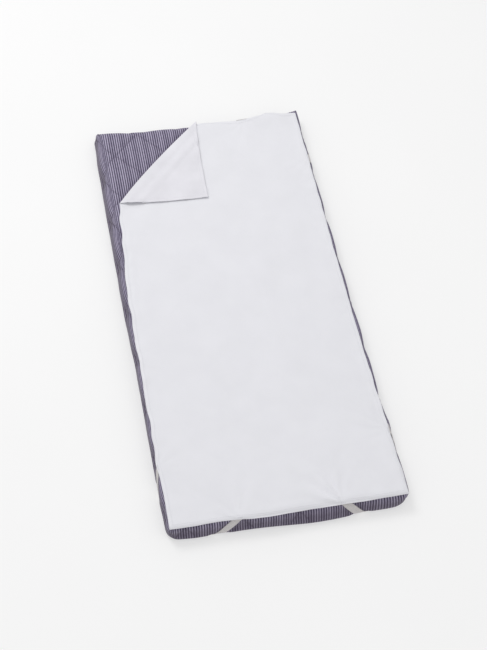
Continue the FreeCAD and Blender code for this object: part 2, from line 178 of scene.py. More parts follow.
def strap_press(kind, x, y, z):
    """How much a corner strap presses the pad in at a point of its plain box, 0 to 1."""
    drop = TOP - z
    total = np.zeros_like(x)
    for label, (sx, sy) in STRAPS.items():
        side_x, side_y = sx * x > 0, sy * y > 0
        if kind == "end":
            off = np.abs(x) - (SHEET_X - STRAP_REACH + drop - strap_shift(label, STRAP_TUCK + drop))
        elif kind == "side":
            off = np.abs(y) - (SHEET_Y - STRAP_REACH + drop)
        else:
            middle = HALF_X + SHEET_Y - STRAP_REACH + TOP
            run = STRAP_TUCK + TOP + HALF_Y - np.abs(y)
            off = np.abs(x) + np.abs(y) - middle + strap_shift(label, run)
        away = np.abs(off) / math.sqrt(2)
        here = 1 - ease((away - STRAP_WIDTH * 0.5) / (14 * MM))
        total = np.maximum(total, np.where(side_x & side_y, here, 0))
    return total


def front_lean(x, low):
    """How far the front wall stands out, in mm: full at the bottom, tucked in at the left corner."""
    near_corner = ease((np.abs(x) - 0.225) / 0.075)
    foot = (12 + 14 * hump(x, 0.09, 0.14)) * (1 - 0.45 * near_corner * (x < 0))
    foot = foot + 7 * hump(x, 0.255, 0.05)
    head = 1 + 4 * np.clip(x / HALF_X, -1, 1) + 6 * hump(x, 0.28, 0.06)
    return head + (foot - head) * low


def rear_lean(x):
    """How far the rear wall stands out, in mm: its corners are pulled out into ears."""
    across = x / (HALF_X - 10 * MM)
    return 13 * np.abs(across) ** 2.5 + 5.5 * across


def left_lean(y, low):
    """How far the left wall stands out, in mm: full at the bottom in the rear half."""
    foot = 9 - 5.5 * (1 - ease((y + 0.2) / 0.25)) - 3 * ease((np.abs(y) - 0.5) / 0.1)
    return 1 + (foot - 1) * low


def right_lean(y, z, low):
    """How far the right wall stands out, in mm: rolled over the zip, plain at both ends."""
    beside_zip = 1 - ease((np.abs(y) - SLOT_HALF_Y) / SLOT_MARGIN)
    roll = (8 - 2.5 * ease((y + 0.25) / 0.3)) * ease((z - ZIP_Z - 9 * MM) / (8 * MM))
    plain = 6 + (7 * low + 3) * (y < 0)
    return roll * beside_zip + plain * (1 - beside_zip)


def lean(x, y, z):
    """How the soft pad's walls stand out from or in from the plain box, in metres."""
    low = ease((TOP - z) / (TOP - 6 * MM))
    front = front_lean(x, low) * ease((-y - 0.42) / 0.18)
    rear = rear_lean(x) * ease((y - 0.40) / 0.20)
    left = left_lean(y, low) * ease((-x - 0.2) / 0.1)
    right = right_lean(y, z, low) * ease((x - 0.2) / 0.1)
    return (right - left) * MM, (rear - front) * MM


def rim_round(inset, from_face, radius):
    """Rounds an edge between a wall and a flat face: how far in from the wall and how far from
    the face a point moves, and the two parts of its outward normal."""
    side = np.maximum(radius - inset, 0)
    up = np.maximum(radius - from_face, 0)
    on_arc = (side > 0) & (up > 0)
    arc = np.where(on_arc, np.hypot(side, up), 1)
    turn = np.where(on_arc, np.maximum(side, up) / arc, 1)
    return side * (1 - turn), up * (1 - turn), side / arc, up / arc


def corner_round(x, y, radius):
    """Rounds the box's corners in plan: new |x| and |y|, outward direction, depth inside the outline."""
    qx = np.abs(x) - (HALF_X - radius)
    qy = np.abs(y) - (HALF_Y - radius)
    reach = np.maximum(qx, qy)
    both = (qx > 0) & (qy > 0)
    long = np.where(both, np.hypot(qx, qy), 1)
    scale = reach / long
    plan_x = np.where(both, HALF_X - radius + qx * scale, np.abs(x))
    plan_y = np.where(both, HALF_Y - radius + qy * scale, np.abs(y))
    out_x = np.where(both, qx / long, np.where(qx >= qy, 1.0, 0.0))
    out_y = np.where(both, qy / long, np.where(qx >= qy, 0.0, 1.0))
    return plan_x, plan_y, out_x, out_y, radius - reach


def pad_shape(box_points, kind, lift=0.0, quilted=True):
    """Maps points on the pad's plain box to the soft pad; kind is top, low, end or side."""
    x, y, z = box_points.T
    sx, sy = np.where(x < 0, -1, 1), np.where(y < 0, -1, 1)
    radius = np.zeros_like(x)
    for (cx, cy), (r_top, r_low) in CORNER_RADII.items():
        here = r_top + (r_low - r_top) * ease((TOP - z) / TOP)
        radius = np.where((sx == cx) & (sy == cy), here, radius)
    plan_x, plan_y, out_x, out_y, inset = corner_round(x, y, radius)
    in_top, sunk, side_top, up_top = rim_round(inset, TOP - z, RIM_TOP)
    in_low, raised, side_low, down_low = rim_round(inset, z, RIM_LOW)
    inward = in_top + in_low
    height = z - sunk + raised

    if kind == "top":
        normal_side, normal_up = side_top, np.where(side_top > 0, up_top, 1)
    elif kind == "low":
        normal_side, normal_up = side_low, -np.where(side_low > 0, down_low, 1)
    else:
        normal_up = up_top - down_low
        normal_side = np.sqrt(np.maximum(1 - normal_up ** 2, 0))
    swell = np.full_like(x, lift)
    if quilted:
        swell = swell + pad_swell(x, y, z, kind)
    else:
        swell = swell - strap_dent(x, y, z, kind)
    px = sx * (plan_x + out_x * (normal_side * swell - inward))
    py = sy * (plan_y + out_y * (normal_side * swell - inward))
    pz = height + normal_up * swell
    dx, dy = lean(x, y, z)
    return np.stack([px + dx, py + dy, pz], axis=1)


def unrolled(x, y, z, kind):
    """Cloth coordinates of a point on the plain box, walls folded out flat."""
    drop = TOP - z
    if kind == "end":
        return x, y + np.sign(y) * drop
    if kind == "side":
        return x + np.sign(x) * drop, y
    return x, y


def strap_dent(x, y, z, kind):
    """Depth that a strap sinks in, in metres."""
    if kind == "top":
        return np.zeros_like(x)
    depth = 1.6 * MM if kind == "low" else 3.2 * MM * ease((TOP - z) / (8 * MM))
    return depth * strap_press(kind, x, y, z)


def pad_swell(x, y, z, kind):
    """Quilted relief, with dents, seam and zip slot, measured outwards along the surface, in metres."""
    cx, cy = unrolled(x, y, z, kind)
    taut = 0.6 * ease((np.maximum(y - HALF_Y, x - HALF_X) + 50 * MM) / (40 * MM))
    puff = 1 - (1 - quilt_puff(cx, cy)) * (1 - taut)
    pucker = quilt_pucker(cx, cy)
    soft = ripple(cx, cy, 0.09, 11)
    if kind == "top":
        return -(7.2 * (1 - puff) + 0.5 * pucker + 0.35 * soft + 3.2) * MM
    dent = strap_dent(x, y, z, kind)
    press = strap_press(kind, x, y, z)
    if kind == "low":
        relief = np.maximum(3.4 * (1 - puff) ** 1.4 + 0.25 * pucker, 0) * MM
        return -relief * (1 - press) - dent
    upper = ease((z - SEAM_Z) / (14 * MM))
    rim = ease((z - (TOP - RIM_TOP)) / RIM_TOP)
    depth = (6.5 + 2.5 * rim) * (1 - puff) * upper
    relief = (depth + 0.6 * pucker * upper + 0.5 * soft + 0.6 + 0.6 * rim) * MM
    seam = 1.6 * MM * hump(z, SEAM_Z, 1.3 * MM)
    if kind == "end":
        return -relief * (1 - press) - dent - seam
    zip_calm = (x > 0) * (1 - ease((np.abs(y) - SLOT_HALF_Y) / SLOT_MARGIN))
    zip_calm = zip_calm * (1 - ease((np.abs(z - ZIP_Z) - 7 * MM) / (8 * MM)))
    in_slot = (np.abs(z - ZIP_Z) <= SLOT_HALF_Z + 1e-6) & (np.abs(y) <= SLOT_HALF_Y + 1e-6)
    slot = np.where(in_slot & (x > 0), SLOT_DEPTH, 0)
    return -relief * (1 - press) * (1 - zip_calm) - dent - seam - slot


def mesh_object(name, points, faces, materials, smooth=True):
    """A new mesh object in the scene, from points and faces of any size."""
    mesh = bpy.data.meshes.new(name)
    mesh.from_pydata([tuple(p) for p in points], [], [tuple(f) for f in faces])
    for material in materials:
        mesh.materials.append(material)
    if smooth:
        mesh.shade_smooth()
    else:
        mesh.shade_flat()
    mesh.update()
    thing = bpy.data.objects.new(name, mesh)
    bpy.context.scene.collection.objects.link(thing)
    return thing


def quads(grid, flip=False):
    """Four-sided faces between the vertex numbers of a grid."""
    a, b, c, d = grid[:-1, :-1], grid[1:, :-1], grid[1:, 1:], grid[:-1, 1:]
    cells = np.stack([a, b, c, d], axis=-1).reshape(-1, 4)
    return cells[:, ::-1] if flip else cells


def lay_flat(thing, flat):
    """Stores each vertex's place on the flat cloth, in metres, as the UV layer "cloth"."""
    loops = np.zeros(len(thing.data.loops), int)
    thing.data.loops.foreach_get("vertex_index", loops)
    layer = thing.data.uv_layers.new(name="cloth")
    layer.data.foreach_set("uv", flat[loops].astype(np.float32).ravel())


def thicken(thing, thickness, offset):
    """Gives a cloth its thickness, to the side that offset says."""
    thick = thing.modifiers.new("thickness", "SOLIDIFY")
    thick.thickness = thickness
    thick.offset = offset
    return thick


def grid_lines(low, high, anchor, step, extra=()):
    """Grid lines through an anchor, one step apart, with both ends and any extra ones."""
    first = math.ceil((low - anchor) / step + 0.3)
    last = math.floor((high - anchor) / step - 0.3)
    lines = [low, high] + [anchor + k * step for k in range(first, last + 1)] + list(extra)
    kept = []
    for value in sorted(lines):
        if not kept or value - kept[-1] > 0.2 * MM:
            kept.append(value)
    return np.array(kept)


def make_pad(material):
    """The quilted pad: one closed skin with domed squares, a low seam and a slot for the zip."""
    step = QUILT_STEP / 30
    anchor_x = (QUILT_FALL - QUILT_RISE) / 2
    anchor_y = (QUILT_FALL + QUILT_RISE) / 2
    xs = grid_lines(-HALF_X, HALF_X, anchor_x, step)
    slot_ends = [s * (SLOT_HALF_Y + d) for s in (1, -1) for d in (0, 0.5 * MM)]
    ys = grid_lines(-HALF_Y, HALF_Y, anchor_y, step, slot_ends)
    slot_z = [ZIP_Z + s * (SLOT_HALF_Z + d) for s in (1, -1) for d in (0, 0.5 * MM, 1.5 * MM)]
    seam = [SEAM_Z + d * MM for d in (-2.5, -1.2, 0, 1.2, 2.5)]
    zs = grid_lines(0, TOP, 0, 4 * MM, slot_z + seam)
    shell = np.zeros((len(xs), len(ys), len(zs)), bool)
    shell[[0, -1]] = shell[:, [0, -1]] = shell[:, :, [0, -1]] = True
    index = np.full(shell.shape, -1)
    index[shell] = np.arange(shell.sum())
    i, j, k = np.nonzero(shell)
    box_points = np.stack([xs[i], ys[j], zs[k]], axis=1)

    regions = [
        ("top", quads(index[:, :, -1])),
        ("low", quads(index[:, :, 0], flip=True)),
        ("end", quads(index[:, 0, :])),
        ("end", quads(index[:, -1, :], flip=True)),
        ("side", quads(index[0, :, :], flip=True)),
        ("side", quads(index[-1, :, :])),
    ]
    points = np.zeros_like(box_points)
    weight = np.zeros(len(box_points))
    for kind, cells in regions:
        used = np.unique(cells)
        points[used] += pad_shape(box_points[used], kind)
        weight[used] += 1
    points /= weight[:, None]
    faces = np.concatenate([cells for _, cells in regions])
    pad = mesh_object("quilted_pad", points, faces, [material])
    flat = [np.column_stack(unrolled(*box_points[cells.ravel()].T, kind)) for kind, cells in regions]
    layer = pad.data.uv_layers.new(name="cloth")
    layer.data.foreach_set("uv", np.concatenate(flat).astype(np.float32).ravel())
    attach(pad, "pad")
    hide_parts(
        "cover_top_panel", "cover_bottom_panel", "wadding_top", "wadding_bottom", "foam_core",
    )


STITCH_SIDES = 6
STITCH_RING = [(math.cos(a), math.sin(a)) for a in np.arange(STITCH_SIDES) * 2 * math.pi / STITCH_SIDES]
# Rings of a stitch, as (share of its length, share of its radius).
STITCH_STATIONS = ((0.14, 0.85), (0.5, 1.0), (0.86, 0.85))


def stitch_mesh(name, starts, ends, normals, radius, material, flatten=0.7):
    """A row of short thread stitches, each a slim spindle from a start to an end."""
    along = ends - starts
    length = np.linalg.norm(along, axis=1, keepdims=True)
    along = along / np.maximum(length, 1e-9)
    across = np.cross(normals, along)
    across /= np.maximum(np.linalg.norm(across, axis=1, keepdims=True), 1e-9)
    up = np.cross(along, across)
    sunk = radius * 0.9
    rings = [starts - up * sunk]
    for share, size in STITCH_STATIONS:
        middle = starts + along * length * share
        for c, s in STITCH_RING:
            rings.append(middle + across * (c * radius * size) + up * (s * radius * size * flatten))
    rings.append(ends - up * sunk)
    points = np.stack(rings, axis=1)
    per = points.shape[1]
    last = per - 1 - STITCH_SIDES
    template = []
    for n in range(STITCH_SIDES):
        after = (n + 1) % STITCH_SIDES
        template.append((0, 1 + after, 1 + n))
        for ring in range(1, last, STITCH_SIDES):
            beyond = ring + STITCH_SIDES
            template.append((ring + n, ring + after, beyond + after, beyond + n))
        template.append((per - 1, last + n, last + after))
    faces = []
    for base in range(0, len(starts) * per, per):
        faces += [tuple(base + v for v in f) for f in template]
    return mesh_object(name, points.reshape(-1, 3), faces, [material])


def quilt_stitch_points(pitch, length):
    """Start and end of every quilting stitch on a flat face, in cloth metres."""
    starts, ends = [], []
    reach = HALF_X + HALF_Y
    margin_x, margin_y = HALF_X - RIM_TOP, HALF_Y - RIM_TOP
    for shift, sign in ((QUILT_FALL, -1), (QUILT_RISE, 1)):
        first = math.ceil((-reach - shift) / QUILT_STEP)
        last = math.floor((reach - shift) / QUILT_STEP)
        for k in range(first, last + 1):
            level = shift + k * QUILT_STEP
            run = np.arange(-reach, reach, pitch / math.sqrt(2))
            step = length / math.sqrt(2)
            x0, x1 = run, run + step
            y0 = level + sign * x0
            y1 = level + sign * x1
            keep = (np.abs(x0) < margin_x) & (np.abs(y0) < margin_y)
            keep &= (np.abs(x1) < margin_x) & (np.abs(y1) < margin_y)
            starts.append(np.stack([x0, y0], axis=1)[keep])
            ends.append(np.stack([x1, y1], axis=1)[keep])
    return np.concatenate(starts), np.concatenate(ends)


def make_quilt_stitches(material):
    """Thread along the quilting lines on the top and the underside."""
    starts, ends = quilt_stitch_points(6 * MM, 4.4 * MM)
    under_strap = strap_press("low", *starts.T, np.zeros(len(starts))) >= 0.05
    for kind, level, node, up in (
        ("top", TOP, "quilting_thread_top", 1),
        ("low", 0, "quilting_thread_bottom", -1),
    ):
        shown = np.full(len(starts), True) if kind == "top" else ~under_strap
        ground = [np.column_stack([p[shown], np.full(shown.sum(), level)]) for p in (starts, ends)]
        a, b = (pad_shape(p, kind, lift=0.15 * MM) for p in ground)
        normals = np.tile([0.0, 0.0, float(up)], (len(a), 1))
        thread = stitch_mesh(f"quilting_stitches_{kind}", a, b, normals, 0.45 * MM, material)
        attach(thread, "pad")
        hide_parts(node)


def sheet_edge_shift(u, v):
    """How the laid sheet's edges wander from the straight cut, in metres."""
    in_x = 1 - ease((SHEET_X - np.abs(u)) / (90 * MM))
    in_y = 1 - ease((SHEET_Y - np.abs(v)) / (90 * MM))
    # Left edge: pulled in by the fold.
    from_fold = np.maximum(FOLD_Y - v, 0)
    left = 21 * np.exp(-((from_fold / 0.17) ** 1.5)) - 2.5 * hump(v, -0.44, 0.03)
    left = left + 2 * ease((-v - 0.45) / 0.1) - 12 * hump(v, 0.29, 0.03)
    left = left + 1.3 * ripple(v, 0 * v, 0.06, 21)
    # Right edge: hangs out over the front half.
    right = -3 + 9 * ease((-v - 0.15) / 0.40) + 2 * ease((v - 0.15) / 0.15)
    right = right + 3 * ease((-v - 0.48) / 0.08) + 0.8 * ripple(v, 0 * v, 0.08, 22)
    # Front edge: hangs out towards the right.
    front = 1.5 - 9 * ease((u + 0.15) / 0.25) - 3 * np.maximum(u, 0) / HALF_X
    front = front - 6 * hump(u, -0.075, 0.075) + ripple(u, 0 * u, 0.12, 23)
    # Rear edge: out in the middle of its right half, and in on both sides of that.
    rear = 12 * hump(u, 0.205, 0.035) - 8 * hump(u, 0.10, 0.06) - 3 * hump(u, 0.25, 0.02) + 2
    return np.where(u < 0, left, right) * in_x * MM, np.where(v < 0, front, rear) * in_y * MM


def fold_pull(x, y):
    """Sideways set of the turned-back corner, from its exact mirror place, in metres."""
    up = np.clip((y - FOLD_Y) / FOLD_LEG, 0, 1.05)
    across = np.clip((FOLD_X + FOLD_LEG - x) / FOLD_LEG, 0, 1.05)
    dx = 8 + 6 * up + 10 * up ** 3 + 4 * across + 14 * across ** 3 - 52 * up * across
    dy = 1 + 6 * up ** 3 + 2 * across + 13 * across ** 3 - 16 * up * across
    return dx * MM, dy * MM


def ground_height(x, y):
    """Height of the pad's smooth upper surface, with no quilting."""
    lean_x, lean_y = lean(x, y, np.full_like(x, TOP - 8 * MM))
    bx, by = x - lean_x, y - lean_y
    inset = np.minimum(HALF_X - np.abs(bx), HALF_Y - np.abs(by))
    # Near the very edge the sheet stops following the pad down.
    side = np.clip(RIM_TOP - inset, 0, RIM_TOP * 0.86)
    return TOP - (RIM_TOP - np.sqrt(RIM_TOP ** 2 - side ** 2))


def strap_ends():
    """Where each outside strap is sewn to the hem, the way it pulls, and how hard."""
    hard = {("front_right", "end"): 3.4, ("front_left", "end"): 1.3, ("front_right", "side"): 1.2}
    found = []
    for label, (sx, sy) in STRAPS.items():
        pull = (sx / math.sqrt(2), sy / math.sqrt(2))
        end_pull = (0.5, -0.87) if label == "front_left" else pull
        end, side = strap_places(label)
        found.append(((sx * end, sy * SHEET_Y), end_pull, hard.get((label, "end"), 0.5)))
        found.append(((sx * SHEET_X, sy * side), pull, hard.get((label, "side"), 0.5)))
    return found


def pull_wrinkles(u, v):
    """Folds that fan out over the sheet from each strap's sewn end, in metres."""
    total = np.zeros_like(u)
    for number, ((pu, pv), (dx, dy), strength) in enumerate(strap_ends()):
        ru, rv = u - pu, v - pv
        far = np.hypot(ru, rv) + 1e-6
        ahead = -(ru * dx + rv * dy) / far
        sideways = (ru * dy - rv * dx) / far
        angle = np.arctan2(sideways, ahead)
        fan = np.exp(-(angle / 0.95) ** 2) * (ahead > -0.2)
        rise = (far / 0.035) * np.exp(1 - far / 0.035)
        bend = 0.5 * ripple(u, v, 0.09, 40 + number)
        total += strength * MM * rise * fan * np.cos(11 * angle + bend + number)
        total += 0.8 * strength * MM * np.exp(-(far / 0.018) ** 2)
    return total


def edge_distance(u, v):
    """How far in a cloth point is from the sheet's nearest edge."""
    return np.minimum(SHEET_X - np.abs(u), SHEET_Y - np.abs(v))


def hem_relief(edge, height, groove, width):
    """The raised hem with the line that its stitches sink into, in the units of its height."""
    step = height * ease((HEM_WIDTH + 1.2 * MM - edge) / (1.6 * MM))
    return step - groove * hump(edge, HEM_STITCH, width)


def sheet_relief(u, v):
    """Soft unevenness of the sheet above the pad, in metres."""
    edge = edge_distance(u, v)
    hem = hem_relief(edge, 1.1, 0.7, 0.9 * MM)
    ridge = 3.0 * hump(u, 0.020 - SHEET_X, 0.009) * ease((v + 0.1) / 0.25)
    ridge = ridge * (0.7 + 0.3 * ripple(u, v, 0.05, 34))
    wave = 0.35 * ripple(u, v, 0.30, 31) + 0.10 * ripple(u, v, 0.08, 32)
    rim_wave = 0.8 * ripple(u, v, 0.06, 33) * (1 - ease(edge / 0.05))
    return (0.5 * quilt_puff(u, v) + 0.6 + hem + ridge + wave + rim_wave) * MM


def flap_relief(x, y, depth, u, v):
    """Height of the turned-back corner above its plain level, in metres."""
    room = 1.2 * MM + 0.035 * depth
    from_fold = x - y + FOLD_LINE
    # The strap below makes a ridge along the fold, with a trough before it.
    strap = (3.6 * hump(from_fold, 0.072, 0.008) - 2.2 * hump(from_fold, 0.046, 0.010)) * MM
    edge = edge_distance(u, v)
    near_leg = 1 - ease((edge - 2 * MM) / (45 * MM))
    wave = (0.9 * ripple(x, y, 0.16, 51) + 0.3 * ripple(x, y, 0.05, 52)) * MM
    leg_wave = 0.7 * MM * np.sin(2 * math.pi * (x - y) / 0.075) * near_leg
    # The pocket is the open lip at the fold's front end.
    pocket = 3.8 * MM * hump(x, POCKET_X, 0.022) * near_leg * (x < -0.15)
    soft = np.clip(strap + 0.5 * wave + leg_wave + 1.3 * MM, 0, room)
    hem = hem_relief(edge, 0.6 * MM, 0.4 * MM, 0.8 * MM)
    return (soft + hem + pocket) * ease(depth / (15 * MM))


def drape(u, v):
    """Places cloth points (u, v) of the protector sheet: (points, how far each goes with the flap)."""
    beyond = (v - u - FOLD_LINE) / math.sqrt(2)
    half_arc = math.pi * FOLD_RADIUS / 2
    over = beyond > half_arc
    arc = np.abs(beyond) <= half_arc
    phi = np.clip((beyond + half_arc) / FOLD_RADIUS, 0, math.pi)
    depth = np.where(over, beyond, np.where(arc, half_arc - FOLD_RADIUS * np.sin(phi), -beyond))
    # The point's foot on the fold line, then inwards from it by its depth.
    foot_u = u + beyond / math.sqrt(2)
    foot_v = v - beyond / math.sqrt(2)
    x = foot_u + depth / math.sqrt(2)
    y = foot_v - depth / math.sqrt(2)
    pull_x, pull_y = fold_pull(np.where(over, x, foot_u), np.where(over, y, foot_v))
    held = np.where(over, 1, np.exp(-np.maximum(depth, 0) / (45 * MM)))
    dx, dy = sheet_edge_shift(u, v)
    x = x + pull_x * held + dx * (1 - held)
    y = y + pull_y * held + dy * (1 - held)

    # Three heights: the laid sheet, flattened near the fold, then the fold's arc, then the flap.
    base = SHEET_TOP - TOP + ground_height(x, y)
    calm = np.where(over, 0, ease(-beyond / (120 * MM)))
    relief = (sheet_relief(u, v) + pull_wrinkles(u, v)) * calm
    rear_edge = 1 - ease((SHEET_Y - v) / (60 * MM))
    lift = (8 * hump(u, 0.215, 0.05) + 3 * hump(u, 0.02, 0.05)) * MM * rear_edge
    hollow = 2.4 * MM * hump(x, POCKET_X, 0.024) * hump(y, FOLD_Y + 5 * MM, 0.03)
    near_fold = ease((beyond + half_arc + 25 * MM) / (25 * MM))
    main_z = base + relief + lift - hollow
    main_z = main_z * (1 - near_fold) + np.minimum(base, SHEET_TOP) * near_fold
    arc_z = SHEET_TOP + FOLD_RADIUS - FOLD_RADIUS * np.cos(phi)
    flap_z = SHEET_TOP + 2 * FOLD_RADIUS + flap_relief(x, y, depth, u, v)
    z = np.where(over, flap_z, np.where(arc, arc_z, main_z))
    share = np.where(beyond > 0.05 * MM, 1.0, 0.0)
    return np.stack([x, y, z], axis=1), share


def cloth_normals(u, v):
    """Unit normals of the draped sheet, on its face side."""
    step = 0.4 * MM
    along_u = drape(u + step, v)[0] - drape(u - step, v)[0]
    along_v = drape(u, v + step)[0] - drape(u, v - step)[0]
    normal = np.cross(along_u, along_v)
    return normal / np.maximum(np.linalg.norm(normal, axis=1, keepdims=True), 1e-12)


def set_blend(thing, share):
    """Bakes the piece's transform into its mesh. The share argument is not used."""
    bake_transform(thing)


def make_sheet(face_material, back_material):
    """The protector sheet: one hemmed cloth, its rear left corner folded back over itself."""
    step = 5 * MM
    hem = [0, 1.0, 3.5, 7.5, 8.8, 10, 11.2, 12.5, 16]
    us, vs = (
        grid_lines(-half, half, 0, step, [s * (half - h * MM) for s in (1, -1) for h in hem])
        for half in (SHEET_X, SHEET_Y)
    )
    uu, vv = np.meshgrid(us, vs, indexing="ij")
    cells = quads(np.arange(uu.size).reshape(uu.shape))
    flat = np.stack([uu.ravel(), vv.ravel(), np.zeros(uu.size)], axis=1)
    sheet = mesh_object("protector_cloth", flat, cells, [face_material, back_material])
    # Extra edges along the fold, so that it bends smoothly.
    shaped = bmesh.new()
    shaped.from_mesh(sheet.data)
    across = Vector((-1, 1, 0)).normalized()
    for offset in (-8, -4, -2.2, -1.4, -0.7, 0, 0.7, 1.4, 2.2, 4, 8):
        place = Vector((0, FOLD_LINE, 0)) + across * offset * MM
        geometry = shaped.verts[:] + shaped.edges[:] + shaped.faces[:]
        bmesh.ops.bisect_plane(shaped, geom=geometry, dist=1e-6, plane_co=place, plane_no=across)
    shaped.to_mesh(sheet.data)
    shaped.free()
    cloth = np.zeros(len(sheet.data.vertices) * 3)
    sheet.data.vertices.foreach_get("co", cloth)
    u, v, _ = cloth.reshape(-1, 3).T
    points, share = drape(u, v)
    lay_flat(sheet, np.stack([u, v], axis=1))
    sheet.data.vertices.foreach_set("co", points.astype(np.float32).ravel())
    sheet.data.shade_smooth()
    sheet.data.update()
    thick = thicken(sheet, CLOTH_THICK, -1)
    thick.material_offset = 1
    thick.material_offset_rim = 0
    set_blend(sheet, share)
    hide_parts("protector_sheet", "protector_backing", "flap_sheet", "flap_backing")
    return sheet


def hem_path(pitch, length):
    """Start and end of each hem stitch, going round the sheet, in cloth metres."""
    x, y = SHEET_X - HEM_STITCH, SHEET_Y - HEM_STITCH
    corners = np.array([(-x, -y), (x, -y), (x, y), (-x, y), (-x, -y)])
    starts, ends = [], []
    for a, b in zip(corners[:-1], corners[1:]):
        run = np.linalg.norm(b - a)
        way = (b - a) / run
        at = np.arange(pitch * 0.3, run - length, pitch)[:, None]
        starts.append(a + way * at)
        ends.append(a + way * (at + length))
    return np.concatenate(starts), np.concatenate(ends)


def stitches_on_sheet(name, starts, ends, radius, material):
    """Thread on the draped sheet, on its face and on its backing, following the fold."""
    a, share = drape(*starts.T)
    b, _ = drape(*ends.T)
    normal = cloth_normals(*((starts + ends) / 2).T)
    above = normal * radius * 0.35
    below = -normal * (CLOTH_THICK + radius * 0.35)
    thread = stitch_mesh(
        name,
        np.concatenate([a + above, a + below]),
        np.concatenate([b + above, b + below]),
        np.concatenate([normal, -normal]),
        radius,
        material,
    )
    per = len(thread.data.vertices) // (2 * len(a))
    set_blend(thread, np.tile(share, 2).repeat(per))
    return thread


def make_tacks(material):
    """Dense zigzag bar tacks where the strap ends are sewn to the hem."""
    inset = 3.5 * MM
    # The rear left strap's ends are this far from the turned-back corner.
    tucked = 185 * MM
    rows = []
    for label, (sx, sy) in STRAPS.items():
        end, side = strap_places(label)
        rows.append((sx * end, sy * (SHEET_Y - inset), "u"))
        rows.append((sx * (SHEET_X - inset), sy * side, "v"))
    rows.append((inset - SHEET_X, SHEET_Y - tucked, "v"))
    rows.append((tucked - SHEET_X, SHEET_Y - inset, "u"))
    turns = 15
    along = np.linspace(-7 * MM, 7 * MM, turns)
    across = 1.4 * MM * np.where(np.arange(turns) % 2, 1, -1)
    starts, ends = [], []
    for cu, cv, way in rows:
        path = np.column_stack([along, across] if way == "u" else [across, along]) + (cu, cv)
        starts.append(path[:-1])
        ends.append(path[1:])
    starts, ends = np.concatenate(starts), np.concatenate(ends)
    tacks = stitches_on_sheet("strap_bar_tacks", starts, ends, 0.4 * MM, material)
    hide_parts("strap_tacks_main", "strap_tacks_flap")
    return tacks


def strap_route(label, offset, count):
    """Stations along a corner strap, as (part of the box, |x|, |y|, z): from under the end hem
    down the end wall, slantwise below the pad, up the side wall and under the side hem."""
    wide = offset * math.sqrt(2)
    end_x = SHEET_X - STRAP_REACH + wide
    side_y = SHEET_Y - STRAP_REACH + wide
    down = STRAP_TUCK + TOP
    along = down + HALF_X - end_x - TOP
    up = along + TOP
    rows = []
    for d in np.linspace(0, up + STRAP_TUCK, count):
        shift = strap_shift(label, d)
        past = d - STRAP_TUCK
        if past < 0:
            rows.append(("top", end_x + past - shift, HALF_Y + past, TOP))
        elif d < down:
            rows.append(("end", end_x + past - shift, HALF_Y, TOP - past))
        elif d < along:
            rows.append(("low", end_x + TOP + (d - down) - shift, HALF_Y - (d - down), 0))
        elif d < up:
            rows.append(("side", HALF_X, side_y + (up - d), d - along))
        else:
            rows.append(("top", HALF_X - (d - up), side_y - (d - up), TOP))
    return rows


def make_corner_strap(label, material):
    """An elastic strap that hugs the pad from hem to hem, under one corner."""
    sx, sy = STRAPS[label]
    count, lanes = 150, 9
    offsets = np.linspace(-0.5, 0.5, lanes) * STRAP_WIDTH
    points = np.zeros((count, lanes, 3))
    for lane, offset in enumerate(offsets):
        rows = strap_route(label, offset, count)
        for kind in ("top", "end", "low", "side"):
            chosen = [n for n, row in enumerate(rows) if row[0] == kind]
            box_points = np.array([(sx * x, sy * y, z) for part, x, y, z in rows if part == kind])
            lift = 0.2 * MM if kind == "low" else 0.5 * MM
            points[chosen, lane] = pad_shape(box_points, kind, lift=lift, quilted=False)
    for _ in range(4):
        points[1:-1] = (points[:-2] + 2 * points[1:-1] + points[2:]) / 4
    cells = quads(np.arange(count * lanes).reshape(count, lanes), flip=sx * sy > 0)
    strap = mesh_object(f"{label}_elastic", points.reshape(-1, 3), cells, [material])
    lengths = np.linalg.norm(np.diff(points[:, lanes // 2], axis=0), axis=1)
    run = np.concatenate([[0], np.cumsum(lengths)])
    lay_flat(strap, np.stack(np.meshgrid(run, offsets, indexing="ij"), axis=-1).reshape(-1, 2))
    thicken(strap, STRAP_THICK, 1)
    share = ease((TOP - 12 * MM - points[..., 2].ravel()) / (TOP - 18 * MM))
    set_blend(strap, share)
    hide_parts(f"{label}_strap")


def make_tucked_strap(material):
    """The rear left strap, lying slack between the sheet and its turned-back corner."""
    low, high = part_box("rear_left_strap")
    count, lanes = 60, 7
    end_inset = STRAP_WIDTH * 0.707
    first = np.array([low.x + end_inset, low.y])
    last = np.array([high.x, high.y - end_inset])
    t = np.linspace(0, 1, count)
    offsets = np.linspace(-0.5, 0.5, lanes) * STRAP_WIDTH
    side = np.array([1, -1]) / math.sqrt(2)
    bow = 5 * MM * np.sin(math.pi * t)
    centre = first + (last - first) * t[:, None] - side * bow[:, None]
    xy = centre[:, None, :] + side * offsets[None, :, None]
    pull_x, pull_y = fold_pull(xy[..., 0], xy[..., 1])
    z = np.full((count, lanes), low.z)
    points = np.stack([xy[..., 0] + pull_x, xy[..., 1] + pull_y, z], axis=-1)
    cells = quads(np.arange(count * lanes).reshape(count, lanes), flip=True)
    strap = mesh_object("rear_left_elastic", points.reshape(-1, 3), cells, [material])
    run = t * np.linalg.norm(last - first)
    lay_flat(strap, np.stack(np.meshgrid(run, offsets, indexing="ij"), axis=-1).reshape(-1, 2))
    thicken(strap, high.z - low.z, -1)
    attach(strap, "corner_flap")
    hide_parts("rear_left_strap")


